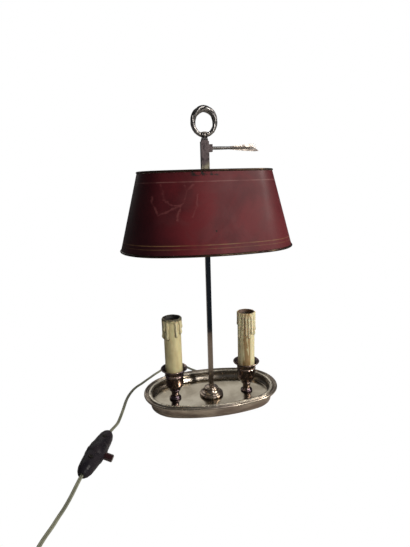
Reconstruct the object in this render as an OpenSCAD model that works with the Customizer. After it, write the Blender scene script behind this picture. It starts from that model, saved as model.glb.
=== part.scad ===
// Two-light bouillotte lamp: an oval tray on a square stem, with a painted metal shade that
// slides on the stem and is held by an arrow-shaped clamp screw.
// Millimetres, +Z up, origin on the table under the middle of the tray, long axis along X.

/* [Tray] */
// Half length of the oval rim
rim_half_length = 105; // [100:1:112]
// Half width of the oval rim
rim_half_width = 63; // [60:0.5:67]
// Height of the rim above the table
rim_height = 21; // [20:0.5:25]
// How far the rim stands out beyond the skirt
rim_overhang = 10; // [9:0.5:12]
// Thickness of the wall between the skirt and the dish
wall_thickness = 4.5; // [4:0.5:6]
// Height of the dish floor above the table
floor_height = 8; // [8:0.5:10]
// Thickness of the dish floor
floor_thickness = 1.6; // [1.2:0.2:2]
// Thickness of the felt underneath
felt_thickness = 1.2; // [0.8:0.2:1.6]
// Thickness of the board that closes the tray
cover_thickness = 1; // [0.8:0.2:1.2]

/* [Reed moulding] */
// Radius of the ribbon turns on the rim moulding
ribbon_radius = 2.1; // [1.9:0.1:2.4]
// Radius of one reed of the rim moulding
reed_radius = 0.75; // [0.65:0.05:0.8]
// Distance from one ribbon turn to the next
ribbon_pitch = 9; // [7:0.5:12]
// Share of the pitch that a ribbon turn covers
ribbon_share = 0.3; // [0.2:0.05:0.45]

/* [Stem] */
// Side of the square stem
rod_side = 7; // [6:0.5:8]
// Height of the top of the stem
rod_top = 391.3; // [380:0.1:410]
// Radius of the foot of the stem
foot_radius = 18.5; // [17:0.5:21]
// Height of the foot of the stem
foot_rise = 14; // [12:0.5:18]
// Radius of the screwed tenon under the stem
tenon_radius = 3; // [2.5:0.25:3]

/* [Finial ring] */
// Half height of the ring's centre line
ring_radius = 17.4; // [16:0.2:20]
// Half width of the ring's centre line
ring_across = 15.5; // [14:0.1:18]
// Radius of the ring's section at the knot
ring_thin = 3.05; // [2.6:0.05:3.5]
// Radius of the ring's section at the top
ring_thick = 4.75; // [4:0.05:5.5]
// Depth of the twisted flutes, as a share of the section
flute_depth = 0.1; // [0.04:0.01:0.14]
// Width of the ribbon knot under the ring
knot_width = 10.5; // [9:0.5:13]

/* [Shade] */
// Half length of the shade's lower edge
shade_half_length = 123.5; // [118:0.5:132]
// Half width of the shade's lower edge
shade_half_width = 78.5; // [74:0.5:84]
// How much the shade narrows on each side from bottom to top
shade_taper = 28.5; // [24:0.5:32]
// Height of the shade's lower edge
shade_low = 243.5; // [238:0.5:256]
// Height of the shade from lower to upper edge
shade_rise = 106; // [102:0.5:114]
// Thickness of the shade's sheet metal
sheet = 0.8; // [0.6:0.1:1.2]
// Radius of the wire in the shade's rolled edges
edge_wire_radius = 1.6; // [1.2:0.1:2]

/* [Shade carrier] */
// Outside width of the square sleeve on the stem
sleeve_side = 11; // [10.6:0.2:13]
// Clear space between the sleeve and the stem
sleeve_clearance = 0.3; // [0.25:0.05:0.45]
// Length of the sleeve
sleeve_length = 62; // [56:1:72]
// Width of the spider's flat arms
arm_width = 10; // [8:0.5:12]
// Thickness of the spider's flat arms
arm_thickness = 1.6; // [1.2:0.1:2]
// How far the arms turn down along the shade
arm_turndown = 12; // [8:1:16]

/* [Arrow screw] */
// Radius of the arrow's shaft
shaft_radius = 2.25; // [2:0.05:2.5]
// Length of the plain shaft outside the boss
shaft_length = 25.5; // [22:0.5:34]
// Length of the arrow's vanes
vane_length = 37; // [30:1:44]
// How far the lowest vane's tail runs on past the others
vane_tail = 4.5; // [3:0.5:6]
// Half width across the vanes
vane_reach = 5.25; // [4.5:0.25:6.5]
// Thickness of a vane
vane_thickness = 1.5; // [1.2:0.1:2]
// Height of the clamp boss
boss_height = 10; // [8:0.5:12]
// Length of the clamp boss
boss_length = 5; // [4:0.5:7]

/* [Candle cups] */
// Distance of each cup from the stem
cup_distance = 57; // [54:1:60]
// Height of the cup's lip above the table
cup_height = 59; // [56:1:66]
// Radius of the flared lip
lip_radius = 20.5; // [18.5:0.5:23]
// Wall thickness of the cup
cup_wall = 0.9; // [0.8:0.1:1.1]
// Radius of the cup's small foot
cup_foot_radius = 9.3; // [8.5:0.1:11]

/* [Candle sleeves] */
// Outside radius of a candle sleeve
candle_radius = 13; // [12.8:0.1:13.4]
// Wall thickness of a candle sleeve
candle_wall = 0.9; // [0.8:0.1:1]
// Height of the top of the candle sleeves
candle_top = 140; // [132:1:150]
// How far the wax drips stand proud
drip_proud = 1.4; // [1:0.1:1.8]

/* [Lampholders] */
// Inside radius of the screw shell for the lamp cap
lamp_thread_radius = 7.05; // [6.9:0.05:7.2]
// Depth of the screw shell
lamp_thread_depth = 28; // [22:1:32]
// Radius of the lampholder body
holder_radius = 11.6; // [11:0.1:11.8]
// Length of the lampholder body
holder_length = 46; // [42:1:52]
// How far the lampholder sits below the top of the sleeve
holder_recess = 5; // [3:0.5:9]
// Outside radius of the screwed tube under each cup
nipple_radius = 4; // [3.6:0.1:4.2]
// Wall thickness of the screwed tube
nipple_wall = 1.2; // [1:0.1:1.3]

/* [Cord switch] */
// Length of the switch body
switch_length = 81; // [78:1:88]
// Largest radius of the switch body
switch_radius = 12; // [11.5:0.1:12]
// Radius of the push bar
bar_radius = 4.5; // [4:0.1:4.6]
// How far the push bar stands out
bar_proud = 10; // [9:0.5:10.5]

/* [Plug] */
// Length of the plug's body
plug_length = 35; // [32:1:40]
// Length of the tapered sleeve between the cord and the plug
relief_length = 20; // [20:1:40]
// Width of the plug's body
plug_width = 26; // [24:1:30]
// Thickness of the plug's body
plug_thickness = 13.5; // [12.5:0.5:15]
// Radius of a plug pin
pin_radius = 2; // [1.9:0.1:2.4]
// Length of a plug pin
pin_length = 19; // [18:0.5:20]
// How deep the pins are set in the plug
pin_depth = 8; // [6:0.5:10]
// Distance between the plug pins
pin_spacing = 18.6; // [17:0.2:19]

/* [Cord] */
// Width of the flat twin cord
cord_width = 4.6; // [4:0.2:4.6]
// Thickness of the flat twin cord
cord_height = 2.4; // [2:0.1:2.5]

/* [Hidden] */
$fn = 96;
seat = 0.05;            // between pieces that stand still against each other
running = 0.05;         // radial clearance of a turning or sliding round piece
free = 0.3;             // between pieces of different bodies, and loose covers
skirt_lift = 0.4;       // the skirt stays this far off the table, on the felt
lip_round = 1.9;        // radius of the rim's rounded outer edge
seat_drop = 2.2;        // the moulding's seat below the top of the rim
groove_drop = 1.8;      // the groove outside the moulding, below the top of the rim
nut_thickness = 2;
nut_across = 12;
wire_radius = 0.9;
turn_radius = 25;       // middle of the coiled cord's turns
coil_columns = 2;
coil_layers = 5;
tie_thickness = 0.6;
coil_centre = [-190, -290];
plug_x = -150;          // where the cord enters the plug
switch_centre = [-166.5, -117];
switch_turn = -108.7;   // direction of the cord through the switch
switch_roll = -18;      // the switch leans on its push bar
bush_length = 21;
pin_step = 0.4;         // thinner part of a pin next to the plug
pin_chamfer = 0.8;
socket_depth = 8;       // how deep the stem sits in its foot
boss_drop = 10.6;       // the clamp boss below the top of the sleeve
spider_drop = 6;        // the spider below the top of the shade
neck_height = 3;        // between the stem and the knot of the ring

// The right triangles between an end centre, the middle and a side centre of each oval.
rim_triangle = [7, 24, 25];
shade_triangle = [7, 24, 25];
bush_radius = 3.1;
above_all = 500;        // higher than any piece of the lamp

rim = [rim_half_length, rim_half_width, rim_triangle];
cover_top = felt_thickness + cover_thickness;
under_floor = floor_height - floor_thickness;
foot_top = floor_height + foot_rise;
skirt = inset(rim, rim_overhang);
dish = inset(rim, rim_overhang + wall_thickness);
rebate = inset(rim, rim_overhang + wall_thickness * 0.45);
seat_z = rim_height - seat_drop;
seat_inset = ribbon_radius + lip_round + 5;
sleeve_bore = rod_side + 2 * sleeve_clearance;
sleeve_top = rod_top - free;
boss_z = sleeve_top - boss_drop;
boss_end = sleeve_side / 2 + boss_length;
shade_top_z = shade_low + shade_rise;
shade_edge = [shade_half_length, shade_half_width, shade_triangle];
spider_z = shade_top_z - spider_drop;
cup_floor = floor_height + 23;
cup_inner = candle_radius + free;
cup_outer = cup_inner + cup_wall;
candle_low = cup_floor + 2.5;
holder_top = candle_top - holder_recess;
holder_low = holder_top - holder_length;
nipple_low = under_floor - nut_thickness;
nipple_top = cup_floor + 2 * nut_thickness + 1;
nipple_bore = nipple_radius - nipple_wall;
knot_low = rod_top + neck_height;
ring_z = knot_low + ring_radius + ring_thin;
coil_inner = turn_radius - cord_width * coil_columns / 2;
coil_outer = turn_radius + cord_width * coil_columns / 2;
coil_height = coil_layers * (cord_height + 0.1);
bush_z = (cover_top + under_floor) / 2;
block_back = 36;
plug_back = plug_x + relief_length - 1;
plug_face = plug_back + plug_length;

// The cord's centre line from the tray to the switch.
lead_points = [
    [0, 36.1, 4.3], [0, 46, 4.3], [0, 60, 4.3], [0, 73.4, 4.3], [-4, 86, 3.4], [-11, 97, 2.1],
    [-19, 108, 1.4], [-26, 119, 1.3], [-34, 129, 1.3], [-45, 134, 1.3], [-57, 131, 1.3],
    [-67, 122, 1.3], [-76, 111, 1.3], [-85, 101, 1.3], [-93, 91, 1.3], [-101, 81, 1.3],
    [-108, 72, 1.3], [-116, 63, 1.3], [-122, 54, 1.3], [-127, 43, 1.3], [-131, 31, 1.3],
    [-134, 18, 1.3], [-136, 5, 1.3], [-138, -8, 1.3], [-140, -20, 1.4], [-142, -32, 2],
    [-144, -44, 3.6], [-147, -56, 6.4], [-150, -67, 9.4], [-153, -77, 11.4], [-157, -89, 12],
    [-158.5, -93.5, 12]
];
// From the switch to the coil.
tail_points = [
    [-174.5, -140.5, 12], [-176, -145, 12], [-180, -157, 11.4], [-184, -168, 9],
    [-188, -178, 5.8], [-193, -190, 3], [-198, -201, 1.6], [-202, -212, 1.3],
    [-206.5, -223, 1.3], [-210.5, -235, 1.3], [-213.5, -247, 1.4], [-215.7, -259, 1.6],
    [-216.9, -270, 1.8], [-217.3, -280, 1.95], [-217.3, -290, 1.95]
];
// From the coil to the plug.
end_points = [
    [-190, -317.3, 4.45], [-180, -317.4, 4.7], [-170, -317.4, 5.3], [-160, -317.4, 6.1],
    [-150, -317.4, 6.75]
];

// A four-centre oval is [half length, half width, triangle]. An inset one keeps its centres.
function inset(oval, by) = [oval[0] - by, oval[1] - by, oval[2]];
function end_centre(oval) =
    (oval[0] - oval[1]) * oval[2][0] / (oval[2][0] + oval[2][1] - oval[2][2]);
function end_radius(oval) = oval[0] - end_centre(oval);
function end_angle(oval) = acos(oval[2][0] / oval[2][2]);
// How far off the centres of the long side arcs lie, and those arcs' radius.
function side_shift(oval) = end_centre(oval) * oval[2][1] / oval[2][0];
function side_radius(oval) = oval[1] + side_shift(oval);

// A point that lies x outside the oval, at an angle of its right end arc or its rear side arc.
function end_point(oval, t, x = 0) =
    let (r = end_radius(oval) + x)
    [end_centre(oval) + r * cos(t), r * sin(t)];
function side_point(oval, t, x = 0) =
    let (r = side_radius(oval) + x)
    [r * cos(t), r * sin(t) - side_shift(oval)];
function turned(p, t) = [p[0] * cos(t) - p[1] * sin(t), p[0] * sin(t) + p[1] * cos(t)];
// Points round the oval, closer than the eye can tell from its arcs.
function oval_points(oval, steps = 24) =
    let (half = end_angle(oval))
    [for (turn = [0, 180]) each concat(
        [for (i = [0.5:steps]) turned(end_point(oval, half * (2 * i / steps - 1)), turn)],
        [for (i = [0.5:steps])
            turned(side_point(oval, half + (180 - 2 * half) * i / steps), turn)])];

// The part of space where the oval's rear side arc lies, out to the lines through the centres.
module side_wedge(oval) {
    x = end_centre(oval);
    y = side_shift(oval);
    translate([0, 0, -1])
        linear_extrude(above_all)
            polygon([[0, -y], [3 * x, 2 * y], [-3 * x, 2 * y]]);
}

// A profile swept round the oval, arc by arc. Its x runs outwards.
module oval_sweep(oval) {
    for (turn = [0, 180])
        rotate([0, 0, turn]) {
            difference() {
                translate([end_centre(oval), 0, 0])
                    rotate([0, 0, -90])
                        rotate_extrude(angle = 180)
                            translate([end_radius(oval), 0])
                                children();
                side_wedge(oval);
                mirror([0, 1, 0])
                    side_wedge(oval);
            }
            intersection() {
                translate([0, -side_shift(oval), 0])
                    rotate_extrude(angle = 180)
                        translate([side_radius(oval), 0])
                            children();
                side_wedge(oval);
            }
        }
}

// A flat oval plate.
module oval_plate(oval, thickness) {
    linear_extrude(thickness)
        polygon(oval_points(oval));
}

function unit(v) = v / norm(v);
function along(points, i) =
    let (n = len(points) - 1)
    unit(points[min(i + 1, n)] - points[max(i - 1, 0)]);
// One flat ring of a tube. Its width lies square to the level vector.
function tube_ring(p, t, half_width, half_height, sides, level) =
    let (across = unit(cross(t, level)), up = cross(across, t))
    [for (s = [0:sides - 1]) let (a = 360 * (s + 0.5) / sides)
        p + (across * half_width * cos(a) + up * half_height * sin(a)) / cos(180 / sides)];
// The faces of rings that close into a loop.
function loop_faces(rings, sides) =
    [for (i = [0:rings - 1], s = [0:sides - 1])
        let (
            a = i * sides + s,
            b = i * sides + (s + 1) % sides,
            c = (i + 1) % rings * sides + s,
            d = (i + 1) % rings * sides + (s + 1) % sides
        )
        each [[a, c, d], [a, d, b]]];
function tube_faces(rings, sides) = concat(
    [[for (s = [0:sides - 1]) s]],
    [for (i = [0:rings - 2], s = [0:sides - 1])
        let (a = i * sides + s, b = i * sides + (s + 1) % sides)
        each [[a, a + sides, b + sides], [a, b + sides, b]]],
    [[for (s = [sides - 1:-1:0]) (rings - 1) * sides + s]]);

// A tube through the points, its section an ellipse.
module tube(points, half_width, half_height, level = [0, 0, 1], sides = 8) {
    polyhedron(
        points = [for (i = [0:len(points) - 1])
            each tube_ring(points[i], along(points, i), half_width, half_height, sides, level)],
        faces = tube_faces(len(points), sides));
}

module both_sides() {
    for (side = [-1, 1])
        translate([side * cup_distance, 0, 0])
            children();
}

module hex_nut(across, thickness, bore) {
    difference() {
        cylinder(r = across / 2 / cos(30), h = thickness, $fn = 6);
        translate([0, 0, -1])
            cylinder(r = bore, h = thickness + 2);
    }
}

// ---- tray ----

module tray_profile() {
    skirt_x = -rim_overhang;
    dish_x = -rim_overhang - wall_thickness;
    rebate_x = -rim_overhang - wall_thickness * 0.45;
    seat_out = -seat_inset + ribbon_radius + 0.4;
    seat_in = -seat_inset - ribbon_radius - 0.4;
    polygon([
        [skirt_x, skirt_lift],
        [skirt_x, rim_height - 8],
        [skirt_x + 1.4, rim_height - 6.2],
        [skirt_x + 5, rim_height - 4.7],
        [-lip_round, rim_height - 2 * lip_round],
        [-lip_round, rim_height - 0.5],
        [seat_out + 0.9, rim_height - 0.7],
        [seat_out + 0.6, rim_height - groove_drop],
        [seat_out, seat_z],
        [seat_in, seat_z],
        [seat_in - 0.3, seat_z - 1.6],
        [dish_x + 2.4, rim_height - 7],
        [dish_x + 1.7, rim_height - 9.4],
        [dish_x + 0.6, floor_height + 2.6],
        [dish_x, floor_height + 1.6],
        [dish_x, floor_height + seat],
        [rebate_x, floor_height + seat],
        [rebate_x, skirt_lift]
    ]);
    translate([-lip_round, rim_height - lip_round])
        circle(r = lip_round, $fn = 12);
}

module base_tray() {
    color("silver")
        difference() {
            oval_sweep(rim)
                tray_profile();
            translate([0, skirt[1] + 1, bush_z])
                rotate([90, 0, 0])
                    cylinder(r = bush_radius + seat, h = wall_thickness + 2);
        }
}

// The sheet floor of the dish, soldered in from below against the wall's ledge.
module tray_floor() {
    color("gainsboro")
        difference() {
            translate([0, 0, under_floor])
                oval_plate(inset(rebate, 0.1), floor_thickness);
            translate([0, 0, under_floor - 1])
                cylinder(r = tenon_radius + seat, h = floor_thickness + 2);
            both_sides()
                translate([0, 0, under_floor - 1])
                    cylinder(r = nipple_radius + seat, h = floor_thickness + 2);
        }
}

// Three reeds side by side on a flat back, from the inner edge to the outer one.
function reed_section(r) =
    let (apart = 1.6 * r, top = 2.2 * r)
    [
        [-apart - r, 0], [-apart - r, r], [-apart, top - 0.3 * r], [-apart / 2, r],
        [0, top], [apart / 2, r], [apart, top - 0.3 * r], [apart + r, r], [apart + r, 0]
    ];
// One turn of ribbon over them, a half round with as many points.
function ribbon_section(r) = [for (a = [180:-22.5:0]) [r * cos(a), r * sin(a)]];

function ribbon_turns(radius, angle) = round(radius * angle * PI / 180 / ribbon_pitch);
// Rings round the oval. Each place is [share of a pitch, section there].
function moulding_rings(oval, places) =
    let (
        half = end_angle(oval),
        rest = 180 - 2 * half,
        ends = ribbon_turns(end_radius(oval), 2 * half),
        sides = ribbon_turns(side_radius(oval), rest)
    )
    [for (turn = [0, 180]) each concat(
        [for (i = [0:ends - 1], place = places) let (t = half * (2 * (i + place[0]) / ends - 1))
            [for (p = place[1]) concat(turned(end_point(oval, t, p[0]), turn), p[1])]],
        [for (i = [0:sides - 1], place = places) let (t = half + rest * (i + place[0]) / sides)
            [for (p = place[1]) concat(turned(side_point(oval, t, p[0]), turn), p[1])]])];

// Reeds tied by turns of ribbon, a strip of cast moulding soldered in its seat on the rim.
module rim_moulding() {
    reeds = reed_section(reed_radius);
    ribbon = ribbon_section(ribbon_radius);
    ramp = ribbon_share / 6;
    rings = moulding_rings(inset(rim, seat_inset), [
        [0, reeds], [ramp, ribbon], [ribbon_share - ramp, ribbon], [ribbon_share, reeds]
    ]);
    color("gainsboro")
        translate([0, 0, seat_z])
            polyhedron(
                points = [for (ring = rings) each ring],
                faces = loop_faces(len(rings), len(reeds)));
}

module base_cover() {
    color("tan")
        translate([0, 0, felt_thickness])
            oval_plate(inset(rebate, 0.2), cover_thickness);
}

module felt_pad() {
    color("darkolivegreen")
        oval_plate(inset(rebate, 0.6), felt_thickness);
}

// ---- stem ----

module stem_foot() {
    r = foot_radius;
    color("rosybrown")
        difference() {
            translate([0, 0, floor_height])
                rotate_extrude() {
                    polygon([
                        [0, 0], [r - 2, 0], [r - 2, 4], [r - 3.4, 4.4], [r - 4.2, 5.2],
                        [r - 6, 6.6], [r - 7.2, foot_rise - 5], [r - 8, foot_rise - 2],
                        [r - 8.4, foot_rise - 0.6], [r - 9.2, foot_rise], [0, foot_rise]
                    ]);
                    translate([r - 2, 2])
                        circle(r = 2);
                }
            translate([0, 0, floor_height - 1])
                cylinder(r = tenon_radius + seat, h = foot_rise);
            translate([-rod_side / 2 - seat, -rod_side / 2 - seat, foot_top - socket_depth])
                cube([rod_side + 2 * seat, rod_side + 2 * seat, socket_depth + 1]);
        }
}

module stem_rod() {
    color("dimgray")
        difference() {
            union() {
                translate([-rod_side / 2, -rod_side / 2, foot_top - socket_depth])
                    cube([rod_side, rod_side, rod_top - foot_top + socket_depth]);
                translate([0, 0, nipple_low])
                    cylinder(r = tenon_radius, h = foot_top - socket_depth - nipple_low + 1);
            }
            translate([0, 0, rod_top - 12])
                cylinder(r = 2 + seat, h = 13);
        }
}

module stem_nut() {
    color("goldenrod")
        translate([0, 0, under_floor - nut_thickness])
            hex_nut(10, nut_thickness, tenon_radius + seat);
}

// ---- finial ring ----

function ring_section(u) = ring_thin + (ring_thick - ring_thin) * pow((1 - cos(u)) / 2, 1.5);
function ring_point(u, v, flutes) =
    let (
        fade = min(1, (1 - cos(u)) * 3),
        r = ring_section(u) * (1 + fade * flute_depth * (cos(flutes * v + 3 * u) - 1)),
        out = 0.5 * (1 - cos(u)) / 2 + r * cos(v)
    )
    [(ring_across + out) * sin(u), r * sin(v), -(ring_radius + out) * cos(u)];

// The twisted ring, thickest at the top, cast with its ribbon knot, collar and screw stud.
module finial_ring() {
    steps = 56;
    sides = 16;
    color("slategray") {
        translate([0, 0, ring_z])
            polyhedron(
                points = [for (i = [0:steps - 1], s = [0:sides - 1])
                    ring_point(360 * i / steps, 360 * s / sides, 4)],
                faces = loop_faces(steps, sides));
        for (side = [-1, 1])
            translate([side * knot_width / 4, 0, knot_low + 3.4])
                rotate([0, side * 24, 0])
                    rotate([0, 90, 0])
                        cylinder(r = 4.3, h = knot_width / 3, center = true);
        translate([0, 0, knot_low + 3.4])
            rotate([90, 0, 0])
                cylinder(r = 2.2, h = 10.4, center = true);
        translate([-4.1, -4.1, rod_top])
            cube([8.2, 8.2, 1.4]);
        for (side = [-1, 1])
            translate([side * 1.7, 0, rod_top + 2.2])
                rotate([90, 0, 0])
                    cylinder(r = 1.5, h = 6.6, center = true);
        translate([0, 0, rod_top - 10])
            cylinder(r = 2, h = 11 + neck_height);
    }
}

// ---- shade carrier ----

module carrier_sleeve() {
    color("dimgray")
        difference() {
            union() {
                translate([-sleeve_side / 2, -sleeve_side / 2, sleeve_top - sleeve_length])
                    cube([sleeve_side, sleeve_side, sleeve_length - 1.5]);
                translate([-sleeve_side / 2 + 1, -sleeve_side / 2 + 1, sleeve_top - 2])
                    cube([sleeve_side - 2, sleeve_side - 2, 2]);
                translate([sleeve_side / 2 - 1, -boss_height / 2 + 0.5, boss_z - boss_height / 2])
                    cube([boss_length + 1, boss_height - 1, boss_height]);
            }
            translate([-sleeve_bore / 2, -sleeve_bore / 2, sleeve_top - sleeve_length - 1])
                cube([sleeve_bore, sleeve_bore, sleeve_length + 2]);
            translate([0, 0, boss_z])
                rotate([0, 90, 0])
                    cylinder(r = shaft_radius + running, h = boss_end + 1);
        }
}

// Inside half length of the shade, square to its wall, at a height.
function shade_in(z) = shade_taper * (z - shade_low) / shade_rise + sheet * 1.04;

// Two arms across the short way leave the lamps free from above. Their wider ends turn down.
module shade_spider() {
    reach = shade_half_width - shade_in(spider_z + arm_thickness) - 0.15;
    lean = atan2(shade_taper, shade_rise);
    end_width = arm_width + 0.4;
    color("gray")
        difference() {
            union() {
                translate([-arm_width / 2, 0.8 - reach, spider_z])
                    cube([arm_width, 2 * reach - 1.6, arm_thickness]);
                for (turn = [90, 270])
                    rotate([0, 0, turn])
                        translate([reach, 0, spider_z + arm_thickness])
                            rotate([0, -lean, 0])
                                translate([-arm_thickness, -end_width / 2, -arm_turndown])
                                    cube([arm_thickness, end_width, arm_turndown]);
                translate([-sleeve_side / 2 - 3, -sleeve_side / 2 - 3, spider_z - 2])
                    cube([sleeve_side + 6, sleeve_side + 6, 4 + arm_thickness]);
            }
            translate([-sleeve_side / 2 - seat, -sleeve_side / 2 - seat, spider_z - 5])
                cube([sleeve_side + 2 * seat, sleeve_side + 2 * seat, 12]);
        }
}

module shade_shell() {
    slope = shade_taper / shade_rise;
    low = edge_wire_radius;
    high = shade_rise - edge_wire_radius;
    color("maroon")
        oval_sweep(shade_edge)
            translate([0, shade_low])
                polygon([
                    [-slope * low, low], [-slope * high, high],
                    [-slope * high - sheet, high], [-slope * low - sheet, low]
                ]);
}

module shade_wire(inwards, z) {
    oval_sweep(shade_edge)
        translate([-inwards - sheet / 2, z])
            circle(r = edge_wire_radius - seat, $fn = 12);
}

module shade_top_wire() {
    color("darkgoldenrod")
        shade_wire(shade_taper, shade_top_z);
}

module shade_bottom_wire() {
    color("darkgoldenrod")
        shade_wire(0, shade_low);
}

// One pair of the arrow's vanes, cut from flat bar, with swept tails past the nock.
module vane_pair(tail) {
    start = boss_end + shaft_length;
    for (side = [-1, 1])
        let (end = start + vane_length + (side < 0 ? tail : 0))
        linear_extrude(vane_thickness, center = true)
            polygon([
                [start - 3, 0], [start - 3, side * shaft_radius * 0.7],
                [start + vane_length * 0.2, side * vane_reach * 0.55],
                [start + vane_length * 0.55, side * vane_reach * 0.9],
                [end - 2, side * vane_reach], [end, side * vane_reach * 0.92],
                [start + vane_length - 5, side * 0.9], [start + vane_length - 5, 0]
            ]);
}

module arrow_screw() {
    start = boss_end + shaft_length;
    color("gray")
        translate([0, 0, boss_z]) {
            translate([rod_side / 2 + free, 0, 0])
                rotate([0, 90, 0])
                    cylinder(r = shaft_radius, h = start - rod_side / 2 - free);
            translate([start, 0, 0])
                rotate([0, 90, 0])
                    cylinder(r1 = shaft_radius, r2 = 1.3, h = vane_length - 7);
            vane_pair(0);
            rotate([90, 0, 0])
                vane_pair(vane_tail);
        }
}

// ---- candle cups and lampholders ----

module candle_cup() {
    f = floor_height;
    wall = cup_wall;
    difference() {
        rotate_extrude() {
            polygon([
                [0, f], [cup_foot_radius - 1.4, f], [cup_foot_radius - 1.4, f + 2.8],
                [nipple_radius + 2.9, f + 3.6], [nipple_radius + 1.9, f + 5.4],
                [nipple_radius + 1.7, f + 9], [nipple_radius + 2.4, f + 13],
                [nipple_radius + 4.6, f + 17], [cup_outer - 2.6, f + 20],
                [cup_outer - 0.6, cup_floor], [cup_outer, cup_floor + 3],
                [cup_outer, cup_height - 9], [cup_outer + 0.9, cup_height - 7],
                [cup_outer + 2.8, cup_height - 4], [lip_radius - 1, cup_height - 1.4],
                [lip_radius - 1, cup_height], [cup_inner + 2.9, cup_height - 2.4],
                [cup_inner + 0.9, cup_height - 5.6], [cup_inner, cup_height - 8.6],
                [cup_inner, candle_low - 0.2], [cup_inner - 1, cup_floor + 0.8],
                [cup_inner - 3, cup_floor], [0, cup_floor]
            ]);
            translate([cup_foot_radius - 1.4, f + 1.4])
                circle(r = 1.4);
            translate([lip_radius - 0.9, cup_height - 0.8])
                circle(r = 0.9);
        }
        translate([0, 0, f - 1])
            cylinder(r = nipple_radius + seat, h = cup_floor);
    }
}

module candle_cup_left() {
    color("rosybrown")
        translate([-cup_distance, 0, 0])
            candle_cup();
}

module candle_cup_right() {
    color("rosybrown")
        translate([cup_distance, 0, 0])
            candle_cup();
}

module screwed_tubes() {
    color("goldenrod")
        both_sides()
            translate([0, 0, nipple_low])
                difference() {
                    cylinder(r = nipple_radius, h = nipple_top - nipple_low);
                    translate([0, 0, -1])
                        cylinder(r = nipple_bore, h = nipple_top);
                }
}

module tube_nuts() {
    color("darkkhaki")
        both_sides() {
            translate([0, 0, nipple_low])
                hex_nut(nut_across, nut_thickness, nipple_radius + seat);
            translate([0, 0, nipple_top - nut_thickness])
                hex_nut(nut_across, nut_thickness, nipple_radius + seat);
        }
}

// A strip bent to a U: its foot is clamped between the nut and the cup, its legs carry the body.
module holder_brackets() {
    leg = holder_radius - 1.6;
    foot_z = cup_floor;
    color("lightgray")
        both_sides()
            difference() {
                union() {
                    translate([-leg, -3, foot_z])
                        cube([2 * leg, 6, 1]);
                    translate([0, 0, foot_z])
                        cylinder(r = nipple_radius + 2, h = nipple_top - nut_thickness - foot_z);
                    for (side = [-1, 1])
                        translate([side * leg - 0.5, -3, foot_z])
                            cube([1, 6, holder_low + 8 - foot_z]);
                }
                translate([0, 0, foot_z - 1])
                    cylinder(r = nipple_radius + seat, h = nipple_top);
            }
}

module lampholder() {
    leg = holder_radius - 1.6;
    difference() {
        translate([0, 0, holder_low])
            union() {
                cylinder(r = holder_radius, h = holder_length - 2);
                translate([0, 0, holder_length - 2])
                    cylinder(r1 = holder_radius, r2 = holder_radius - 1, h = 2);
            }
        translate([0, 0, holder_top - lamp_thread_depth - 4])
            cylinder(r = lamp_thread_radius + 1.05, h = lamp_thread_depth + 6);
        translate([0, 0, holder_low - 1])
            cylinder(r = 3, h = holder_length);
        for (side = [-1, 1])
            translate([side * leg - 0.5 - seat, -3 - seat, holder_low - 1])
                cube([1 + 2 * seat, 6 + 2 * seat, 9 + seat]);
    }
}

module lampholders() {
    color("ivory")
        both_sides()
            lampholder();
}

module lamp_threads() {
    color("gold")
        both_sides()
            translate([0, 0, holder_top - lamp_thread_depth - 1])
                difference() {
                    cylinder(r = lamp_thread_radius + 1, h = lamp_thread_depth);
                    translate([0, 0, -1])
                        cylinder(r = lamp_thread_radius, h = lamp_thread_depth + 2);
                }
}

module lamp_contacts() {
    color("gold")
        both_sides()
            translate([0, 0, holder_top - lamp_thread_depth - 4 + seat]) {
                cylinder(r = 5, h = 0.8);
                cylinder(r = 2, h = 2.4);
            }
}

// One wax run down a candle sleeve, ending in a rounded bead.
module drip(angle, length, width, proud) {
    rotate([0, 0, angle])
        translate([candle_radius - width + proud, 0, candle_top - length]) {
            cylinder(r = width, h = length - 2);
            sphere(r = width);
        }
}

module candle_sleeve(drips, collar_proud, collar_height) {
    difference() {
        union() {
            translate([0, 0, candle_low])
                cylinder(r = candle_radius, h = candle_top - candle_low);
            translate([0, 0, candle_top - collar_height])
                cylinder(r1 = candle_radius + 0.2, r2 = candle_radius + collar_proud, h = 2.5);
            translate([0, 0, candle_top - collar_height + 2.5])
                cylinder(r = candle_radius + collar_proud, h = collar_height - 3.5);
            translate([0, 0, candle_top - 1])
                cylinder(r1 = candle_radius + collar_proud, r2 = candle_radius + collar_proud - 1, h = 1);
            for (d = drips)
                drip(d[0], d[1], d[2], drip_proud * d[3]);
        }
        translate([0, 0, candle_low - 1])
            cylinder(r = candle_radius - candle_wall, h = candle_top);
    }
}

module candle_sleeve_left() {
    color("darkkhaki")
        translate([-cup_distance, 0, 0])
            candle_sleeve([
                [200, 28, 2.3, 1], [234, 27, 1.6, 0.85], [289, 23, 1.9, 0.85], [334, 22, 2.2, 1],
                [20, 25, 2, 0.85], [70, 19, 2, 0.8], [118, 26, 2.2, 0.95], [160, 17, 2, 0.8]
            ], 2.4, 9);
}

module candle_sleeve_right() {
    color("beige")
        translate([cup_distance, 0, 0])
            candle_sleeve([
                [204, 37, 1.6, 0.85], [232, 18, 1.5, 0.6], [254, 32, 1.6, 0.65], [277, 36, 1.6, 0.65],
                [316, 29, 1.8, 0.95], [345, 16, 1.5, 0.65], [25, 30, 1.7, 0.85], [75, 22, 1.6, 0.7],
                [125, 34, 1.7, 0.85], [165, 20, 1.6, 0.7]
            ], 0.9, 7);
}

// ---- wiring in the tray ----

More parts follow.
